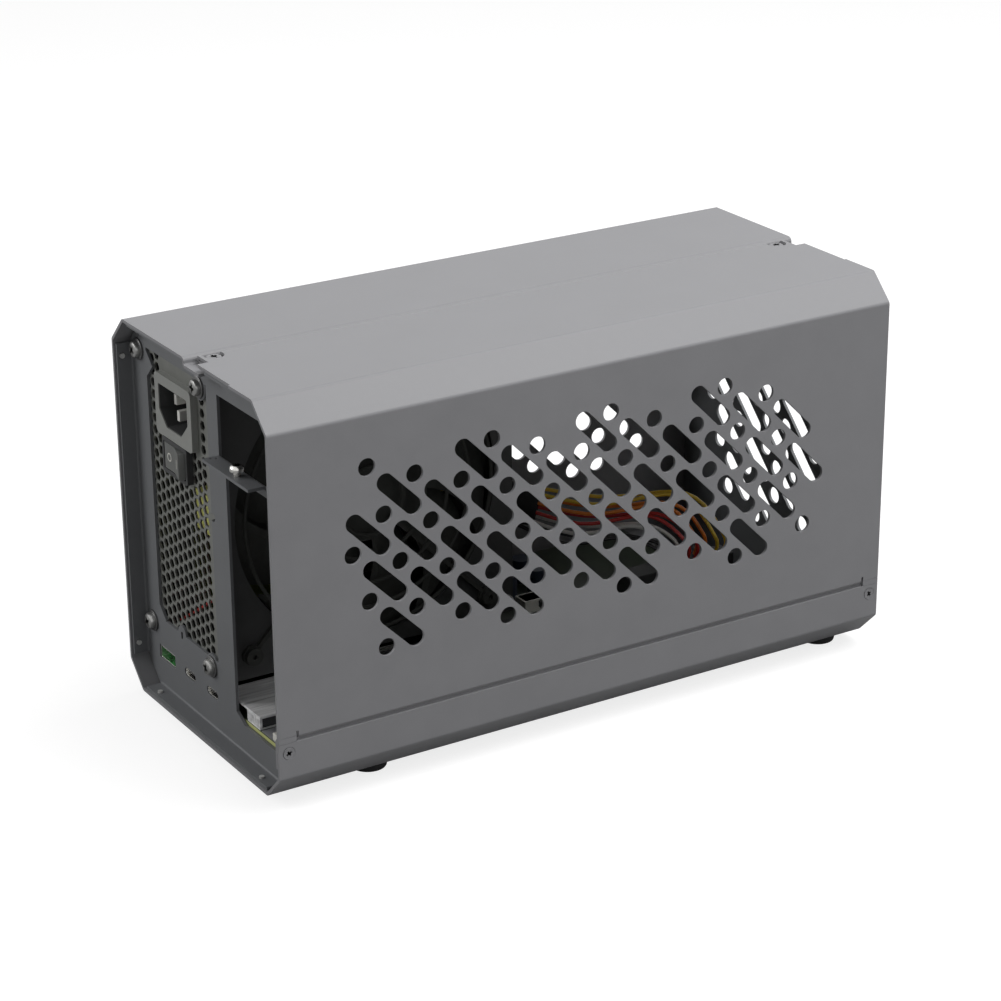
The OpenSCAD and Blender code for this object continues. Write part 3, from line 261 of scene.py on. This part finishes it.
# screws
screws = {
    "side": dict(x=2.8, z=(17.3, 137.5), y=43.3, rings=((1.75, 0.0), (1.72, 0.04)), recess=(1.1, 0.28, 0.5),
                 shank=(1.0, 3.2)),
    "strip": dict(x=4.2, z=20.8, rings=((2.35, 0.0), (2.3, 0.06), (1.5, 0.02)), recess=(1.0, 0.3, 0.35),
                  shank=(1.25, 5.0)),
    "seam": dict(x=10.5, y=-3.3, z=153.25, rings=((3.1, 0.0), (3.1, 0.8), (2.8, 1.15), (2.2, 1.3)),
                 recess=(1.4, 0.36, 0.4), shank=(1.5, 5.0)),
    "shelf": dict(x=3.2, y=-33.0, z=121.2, recess=(1.4, 0.38, 1.0), shank=(1.4, 3.6),
                  rings=((2.7, 0.0), (2.7, 0.9), (2.45, 1.6), (1.9, 2.1), (1.6, 2.2))),
    "supply": dict(x=7.2, y=29.7, z=84.7, pitch=(51.5, 113.0),
                   washer=((4.3, 0.0), (4.3, 0.7), (4.15, 0.8), (1.9, 0.8), (1.9, 0.0)),
                   rings=((3.2, 0.8), (3.2, 1.9), (2.9, 2.5), (2.1, 2.9)),
                   recess=(1.75, 0.42, 1.1), shank=(1.65, 6.0)),
}
caseEnds = ((0.0, 1), (275.0, -1))
halfWidth = 63.75

one = screws["side"]
bm = bmesh.new()
for end, sign in caseEnds:
    x = end + sign * one["x"]
    for z in one["z"]:
        addScrew(bm, place(x, halfWidth, z), (0, 1, 0), one, 0.4 + z)
    for y in (-one["y"], one["y"]):
        addScrew(bm, place(x, y, 0), (0, 0, -1), one, 0.9 * y)
finishPiece(bm, "flangeScrews", "zinc", "case", replaced=["panel_screws"])

one = screws["strip"]
bm = bmesh.new()
for end, sign in caseEnds:
    addScrew(bm, place(end + sign * one["x"], -halfWidth, one["z"]), (0, -1, 0), one, 0.5 + end)
finishPiece(bm, "stripScrews", "case_paint", "case", replaced=["strip_screws"])

one = screws["seam"]
bm = bmesh.new()
for end, sign in caseEnds:
    addScrew(bm, place(end + sign * one["x"], one["y"], one["z"]), (0, 0, 1), one, 0.2 + end)
finishPiece(bm, "seamScrews", "case_paint", "case", replaced=["seam_screws"])

one = screws["shelf"]
bm = bmesh.new()
addScrew(bm, place(one["x"], one["y"], one["z"]), (0, 0, 1), one)
finishPiece(bm, "shelfScrew", "nickel", "case", replaced=["shelf_screw"])

one = screws["supply"]
heads = bmesh.new()
washers = bmesh.new()
for sy in (-1, 1):
    for sz in (-1, 1):
        at = place(one["x"], one["y"] + sy * one["pitch"][0] / 2, one["z"] + sz * one["pitch"][1] / 2)
        addScrew(heads, at, (-1, 0, 0), one, 0.3 + sy * 0.5 + sz * 0.2)
        start = len(washers.verts)
        loops = [ringLoop(washers, radius * mm, height * mm, ringSides["washer"])
                 for radius, height in one["washer"]]
        for a, b in zip(loops, loops[1:] + loops[:1]):
            bmesh.ops.bridge_loops(washers, edges=a + b)
        standAt(washers, start, at, (-1, 0, 0))
finishPiece(heads, "supplyScrews", "screw_steel", "case", replaced=["psu_screws"])
finishPiece(washers, "supplyWashers", "dark_zinc", "case", replaced=["psu_screws"])
print("screws done")


# pieces built up from blocks with small chamfers
def addBlock(bm, low, high, bevel=0.0):
    made = bmesh.ops.create_cube(bm, size=1)
    verts = made["verts"]
    bmesh.ops.scale(bm, verts=verts, vec=[(b - a) * mm for a, b in zip(low, high)])
    bmesh.ops.translate(bm, verts=verts, vec=place(*[(a + b) / 2 for a, b in zip(low, high)]))
    if bevel:
        edges = list({e for v in verts for e in v.link_edges})
        bmesh.ops.bevel(bm, geom=edges, offset=bevel * mm, segments=2, profile=0.5, affect="EDGES",
                        material=-1)


def blockPiece(name, size, material, replaced=()):
    bm = bmesh.new()
    addBlock(bm, **size)
    finishPiece(bm, name, material, "case", smooth=False, replaced=replaced)


# silver block at the rear edge of the docking board, with its mouth towards the cover
block = dict(low=(9.1, -31.0, 15.0), high=(43.0, -20.5, 20.4), floor=0.5, wall=0.9, mouth=(10.2, 41.5),
             deep=6.5, bevel=0.2, plate=((9.1, -31.0), (50.0, -1.5)))
x0, y0, z0 = block["low"]
x1, y1, z1 = block["high"]
m0, m1 = block["mouth"]
floorZ, roofZ, backY = z0 + block["floor"], z1 - block["wall"], y0 + block["deep"]
bm = bmesh.new()
for low, high in (
    ((*block["plate"][0], roofZ), (*block["plate"][1], z1)),
    ((x0, y0, z0), (x1, y1, floorZ)),
    ((x0, y0, floorZ), (m0, y1, roofZ)),
    ((m1, y0, floorZ), (x1, y1, roofZ)),
    ((m0, backY, floorZ), (m1, y1, roofZ)),
):
    addBlock(bm, low, high, block["bevel"])
finishPiece(bm, "blockSink", "block_aluminium", "case", smooth=False,
            replaced=["heat_sink"])

# black block set in the silver block's mouth: painted shade, darkening the mouth's depth
mouthShade = dict(side=0.1, front=0.7, gap=0.05, bevel=0.15)
blockPiece("blockMouthShade", dict(
    low=(m0 + mouthShade["side"], y0 + mouthShade["front"], floorZ + mouthShade["gap"]),
    high=(m1 - mouthShade["side"], backY - mouthShade["side"], roofZ - mouthShade["gap"]),
    bevel=mouthShade["bevel"]), "black_plastic")

# cut edge of the docking board, tinned pads beside the block and a small white connector
boardEdge = dict(low=(8.82, -58.0, 13.5), high=(8.9, -8.0, 14.96))
pads = dict(low=(9.3, -46.0, 15.0), high=(19.0, -31.5, 15.12), bevel=0.03)
connector = dict(low=(9.5, -44.4, 15.12), high=(14.0, -40.2, 18.0), bevel=0.3)
blockPiece("boardEdge", boardEdge, "board_core")
blockPiece("tinnedPads", pads, "tinned")
blockPiece("whiteConnector", connector, "white_plastic")

# black lining of the inlet's recess: painted shade, darkening the recess where shade falls
well = dict(y=24.3, z=125.3, wide=12.05, high=8.05, cut=6.0, x=(6.2, 18.0), wall=0.3, mouth=0.5)
wellX, wellEnd = well["x"]
w, h, c = well["wide"], well["high"], well["cut"]
bm = bmesh.new()
corners = [(-w, h), (w, h), (w, -h + c), (w - c, -h), (-w + c, -h), (-w, -h + c)]
front = bm.faces.new([bm.verts.new(place(wellX, well["y"] + y, well["z"] + z)) for y, z in corners])
pulled = bmesh.ops.extrude_face_region(bm, geom=[front], use_keep_orig=False)
bmesh.ops.translate(bm, verts=[v for v in pulled["geom"] if isinstance(v, bmesh.types.BMVert)],
                    vec=((wellEnd - wellX) * mm, 0, 0))
nearMouth = place(wellX + well["mouth"], 0, 0).x
mouthFaces = [f for f in bm.faces if f.calc_center_median().x < nearMouth]
bmesh.ops.delete(bm, geom=mouthFaces, context="FACES_ONLY")
bmesh.ops.recalc_face_normals(bm, faces=bm.faces)
bmesh.ops.solidify(bm, geom=list(bm.faces), thickness=well["wall"] * mm)
finishPiece(bm, "inletRecessShade", "black_plastic", "case", smooth=False)

# green tongue of the USB-A socket, and behind it a black block: painted shade, darkening the socket's depth
tongue = dict(low=(9.0, 38.8, 17.5), high=(17.6, 49.4, 18.6), bevel=0.15)
tongueBackShade = dict(low=(17.5, 38.0, 14.55), high=(21.1, 50.2, 18.75), bevel=0.15)
blockPiece("usbTongue", tongue, "green_plastic", replaced=["usb_a_tongue"])
blockPiece("usbBackShade", tongueBackShade, "black_plastic", replaced=["usb_a_tongue"])
print("board pieces done")


# marks on the rocker
marks = dict(pivot=(8.8, 25.1, 105.6), face=3.0, angle=16.0, ring=(1.7, 1.25), bar=(0.3, 1.8), lift=0.12,
             along=4.3)


def addMark(bm, ring, turnAngle, side):
    start = len(bm.verts)
    if ring:
        outer = ringLoop(bm, marks["ring"][0] * mm, 0, ringSides["mark"])
        inner = ringLoop(bm, marks["ring"][1] * mm, 0, ringSides["mark"])
        faces = bmesh.ops.bridge_loops(bm, edges=outer + inner)["faces"]
    else:
        made = bmesh.ops.create_grid(bm, x_segments=1, y_segments=1, size=1)
        bmesh.ops.scale(bm, verts=made["verts"], vec=(marks["bar"][0] * mm, marks["bar"][1] * mm, 1))
        faces = [f for f in bm.faces if all(v in made["verts"] for v in f.verts)]
    raised = bmesh.ops.extrude_face_region(bm, geom=faces)
    bmesh.ops.translate(bm, verts=[v for v in raised["geom"] if isinstance(v, bmesh.types.BMVert)],
                        vec=(0, 0, marks["lift"] * mm))
    bm.verts.ensure_lookup_table()
    face = marks["face"] * mm
    local = Matrix.Translation((-face, side * marks["along"] * mm, 0)) @ turnedTo(Vector((-1, 0, 0)))
    aboutFace = Matrix.Translation((-face, 0, 0)) @ Matrix.Rotation(turnAngle, 4, "Z") \
        @ Matrix.Translation((face, 0, 0))
    matrix = Matrix.Translation(place(*marks["pivot"])) @ aboutFace @ local
    bmesh.ops.transform(bm, matrix=matrix, verts=bm.verts[start:])


bm = bmesh.new()
addMark(bm, True, 0.0, 1)
addMark(bm, False, -math.radians(marks["angle"]), -1)
finishPiece(bm, "rockerMarks", "white_plastic", "rocker")
print("rocker marks done")


# leads
leads = {
    "radius": 0.78, "lane": 3.0, "pitch": 4.2, "row": 2.1, "steps": 6,
    "boardY": 54.85, "outlet": (33.7, 56.2), "psuEnd": 138.4, "plugX": 179.9, "plugY": -19.0, "plugTop": 34.0,
    "back": 19, "stagger": 3, "bend": 8, "inside": 1, "outside": 12, "swing": 3, "approach": (9, 12),
    "pairs": {
        "yellow": (7.0, 57.0, 46.0, -1), "orange": (3.5, 54.0, 39.0, 1), "red": (0.0, 51.0, 32.0, -1),
        "white": (-3.5, 48.0, 25.0, 1), "black": (-7.0, 44.5, 18.0, -1),
    },
}


def leadRoute(z, top, x, row, s):  # from the supply's board out through its outlet and down into the plug
    oy, oz = leads["outlet"]
    end, bend = leads["psuEnd"], leads["bend"]
    boardY, plugY, plugTop = leads["boardY"], leads["plugY"], leads["plugTop"]
    backX, backY = leads["approach"]
    j = s * leads["lane"]
    start = end - leads["back"] + leads["stagger"] * s
    last = leads["plugX"] + x + s * leads["pitch"] / 2
    lastY = plugY + row * leads["row"]
    return [place(*p) for p in (
        (start, boardY, oz + z), (start, boardY - bend, oz + z), (start + bend, oy + j, oz + z),
        (end - leads["inside"], oy + j, oz + z), (end + leads["outside"], oy + j, oz + z),
        ((end + bend + leads["plugX"] + x) / 2 + j, (oy + plugY) / 2 + j + leads["swing"], oz - bend + z),
        (last - backX, plugY + backY, top), (last, lastY, plugTop + bend), (last, lastY, plugTop))]


def smoothRoute(points, steps):  # a curve through all points
    out = []
    for k in range(len(points) - 1):
        a, b = points[max(k - 1, 0)], points[k]
        c, d = points[k + 1], points[min(k + 2, len(points) - 1)]
        for i in range(steps):
            t = i / steps
            out.append(b + (c - a) * t / 2 + (2 * a - 5 * b + 4 * c - d) * t * t / 2
                       + (3 * b - a - 3 * c + d) * t ** 3 / 2)
    return out + [points[-1]]


def leadPiece(name, wire, radius, routes, replaced=()):
    curve = bpy.data.curves.new(name, "CURVE")
    curve.dimensions = "3D"
    curve.bevel_depth = radius * mm
    curve.bevel_resolution = 3
    curve.use_fill_caps = True
    for points in routes:
        route = smoothRoute(points, leads["steps"])
        spline = curve.splines.new("POLY")
        spline.points.add(len(route) - 1)
        for point, at in zip(spline.points, route):
            point.co = (*at, 1)
        spline.use_smooth = True
    obj = bpy.data.objects.new(name, curve)
    bpy.context.scene.collection.objects.link(obj)
    curve.materials.append(materials[wire])
    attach(obj, "case")
    if replaced:
        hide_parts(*replaced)


for color, (z, top, x, row) in leads["pairs"].items():
    leadPiece("lead" + color.capitalize(), "wire_" + color, leads["radius"],
              [leadRoute(z, top, x, row, s) for s in (-1, 1)], replaced=["lead_" + color])

# red lead inside the supply, from its board past the mesh to the switch
innerLead = dict(radius=0.7, route=(
    (28.0, 54.6, 30.0), (22.0, 52.0, 28.0), (14.0, 44.8, 30.4), (13.0, 30.5, 39.2), (12.0, 16.5, 48.0),
    (11.4, 6.0, 57.0), (11.4, 2.0, 75.0), (11.6, 4.0, 92.0), (13.4, 10.5, 101.0), (21.5, 18.2, 104.6),
    (25.2, 20.1, 104.8)))
leadPiece("innerLead", "wire_red", innerLead["radius"], [[place(*p) for p in innerLead["route"]]])

# black sleeve over the ten leads where they leave the supply
sleeve = dict(start=1.6, stop=27.0, rings=9, sides=28, steps=24, high=8.6, wide=(5.2, 5.6), wall=0.5,
              beyond=((179.2, 10.35, 48.2), (202.9, -7.0, 32.0)))
middle = smoothRoute([place(*p) for p in (
    (leads["psuEnd"] - leads["inside"], *leads["outlet"]),
    (leads["psuEnd"] + leads["outside"], *leads["outlet"]), *sleeve["beyond"])], sleeve["steps"])


def nearestIndex(x):
    return min(range(len(middle)), key=lambda i: abs(middle[i].x - place(x, 0, 0).x))


bm = bmesh.new()
outer, inner = [], []
first = nearestIndex(leads["psuEnd"] + sleeve["start"])
last = nearestIndex(leads["psuEnd"] + sleeve["stop"])
for k in range(sleeve["rings"]):
    t = k / (sleeve["rings"] - 1)
    i = round(first + (last - first) * t)
    wide = sleeve["wide"][0] + (sleeve["wide"][1] - sleeve["wide"][0]) * t
    heading = (middle[i + 1] - middle[i - 1]).normalized()
    across = heading.cross(Vector((0, 0, 1))).normalized()
    rise = across.cross(heading)
    ringAt = Matrix((
        (across.x, rise.x, heading.x, middle[i].x), (across.y, rise.y, heading.y, middle[i].y),
        (across.z, rise.z, heading.z, middle[i].z), (0, 0, 0, 1)))
    for loops, less in ((outer, 0.0), (inner, sleeve["wall"])):
        made = bmesh.ops.create_circle(bm, segments=sleeve["sides"], radius=1, cap_ends=False)
        bmesh.ops.scale(bm, verts=made["verts"], vec=((wide - less) * mm, (sleeve["high"] - less) * mm, 1))
        bmesh.ops.transform(bm, matrix=ringAt, verts=made["verts"])
        loops.append(list({e for v in made["verts"] for e in v.link_edges}))
for loops in (outer, inner):
    for a, b in zip(loops, loops[1:]):
        bmesh.ops.bridge_loops(bm, edges=a + b)
for a, b in ((outer[0], inner[0]), (outer[-1], inner[-1])):
    bmesh.ops.bridge_loops(bm, edges=a + b)
finishPiece(bm, "leadSleeve", "sleeve_black", "case")
print("leads done")


# studio
studio = {
    "azimuth": -31.56, "elevation": 21.90, "roll": -0.472, "distance": 1.1542,
    "target": (-0.00327, 0.0, 0.07443), "focalPixels": 2917.5, "pixels": 1001, "sensor": 36,
    "world": 0.16, "floor": (0.32, 0.32, 0.32), "floorRadius": 6, "floorGlow": 0.8,
    "lamps": (
        ("overhead", (0.5, -0.42, 1.3), (0, 0, 0.1), 1.2, 22.0),
        ("sideFill", (0.2, -1.7, 0.55), (0, 0, 0.08), 1.2, 3.0),
        ("rearFill", (-1.1, 0.7, 0.75), (-0.1, 0.0, 0.1), 0.7, 8.0),
    ),
}


for name, at, target, size, power in studio["lamps"]:
    light = bpy.data.lights.new(name, "AREA")
    light.size = size
    light.energy = power
    lamp = bpy.data.objects.new(name, light)
    bpy.context.scene.collection.objects.link(lamp)
    lamp.location = at
    lamp.rotation_euler = (Vector(target) - Vector(at)).to_track_quat("-Z", "Y").to_euler()

world = bpy.data.worlds.new("studio")
bpy.context.scene.world = world
world.use_nodes = True
tree = world.node_tree
tree.nodes.clear()
path = tree.nodes.new("ShaderNodeLightPath")
seen = tree.nodes.new("ShaderNodeMath")
seen.operation = "MAXIMUM"
tree.links.new(path.outputs["Is Camera Ray"], seen.inputs[0])
tree.links.new(path.outputs["Is Transmission Ray"], seen.inputs[1])
both = tree.nodes.new("ShaderNodeMath")
both.operation = "MAXIMUM"
tree.links.new(seen.outputs[0], both.inputs[0])
tree.links.new(path.outputs["Is Glossy Ray"], both.inputs[1])
strength = tree.nodes.new("ShaderNodeMapRange")
strength.inputs["To Min"].default_value = studio["world"]
strength.inputs["To Max"].default_value = 1.0
tree.links.new(both.outputs[0], strength.inputs["Value"])
background = tree.nodes.new("ShaderNodeBackground")
tree.links.new(strength.outputs["Result"], background.inputs["Strength"])
tree.links.new(background.outputs["Background"], tree.nodes.new("ShaderNodeOutputWorld").inputs["Surface"])
background.inputs["Color"].default_value = (1, 1, 1, 1)

floorMesh = bmesh.new()
bmesh.ops.create_circle(floorMesh, segments=64, radius=studio["floorRadius"], cap_ends=True)
mesh = bpy.data.meshes.new("floor")
floorMesh.to_mesh(mesh)
floorMesh.free()
floor = bpy.data.objects.new("floor", mesh)
bpy.context.scene.collection.objects.link(floor)
floorMat, tree, shader = newMaterial("floor")
shader.inputs["Base Color"].default_value = (*studio["floor"], 1)
shader.inputs["Roughness"].default_value = 0.9
shader.inputs["Specular IOR Level"].default_value = 0.1
path = tree.nodes.new("ShaderNodeLightPath")
glow = tree.nodes.new("ShaderNodeMapRange")
glow.inputs["To Max"].default_value = studio["floorGlow"]
tree.links.new(path.outputs["Is Camera Ray"], glow.inputs["Value"])
shader.inputs["Emission Color"].default_value = (1, 1, 1, 1)
tree.links.new(glow.outputs["Result"], shader.inputs["Emission Strength"])
mesh.materials.append(floorMat)

az, el, roll = (math.radians(studio[k]) for k in ("azimuth", "elevation", "roll"))
away = Vector((math.sin(az) * math.cos(el), -math.cos(az) * math.cos(el), math.sin(el)))
right = Vector((0, 0, 1)).cross(away).normalized()
up = away.cross(right)
camData = bpy.data.cameras.new("camera")
camData.sensor_width = studio["sensor"]
camData.lens = studio["focalPixels"] * studio["sensor"] / studio["pixels"]
camera = bpy.data.objects.new("camera", camData)
bpy.context.scene.collection.objects.link(camera)
r = right * math.cos(roll) + up * math.sin(roll)
u = up * math.cos(roll) - right * math.sin(roll)
camera.matrix_world = Matrix.Translation(Vector(studio["target"]) + away * studio["distance"]) @ Matrix((
    (r.x, u.x, away.x, 0), (r.y, u.y, away.y, 0), (r.z, u.z, away.z, 0), (0, 0, 0, 1)))
bpy.context.scene.camera = camera
bpy.context.scene.view_settings.view_transform = "Standard"
print("studio done")
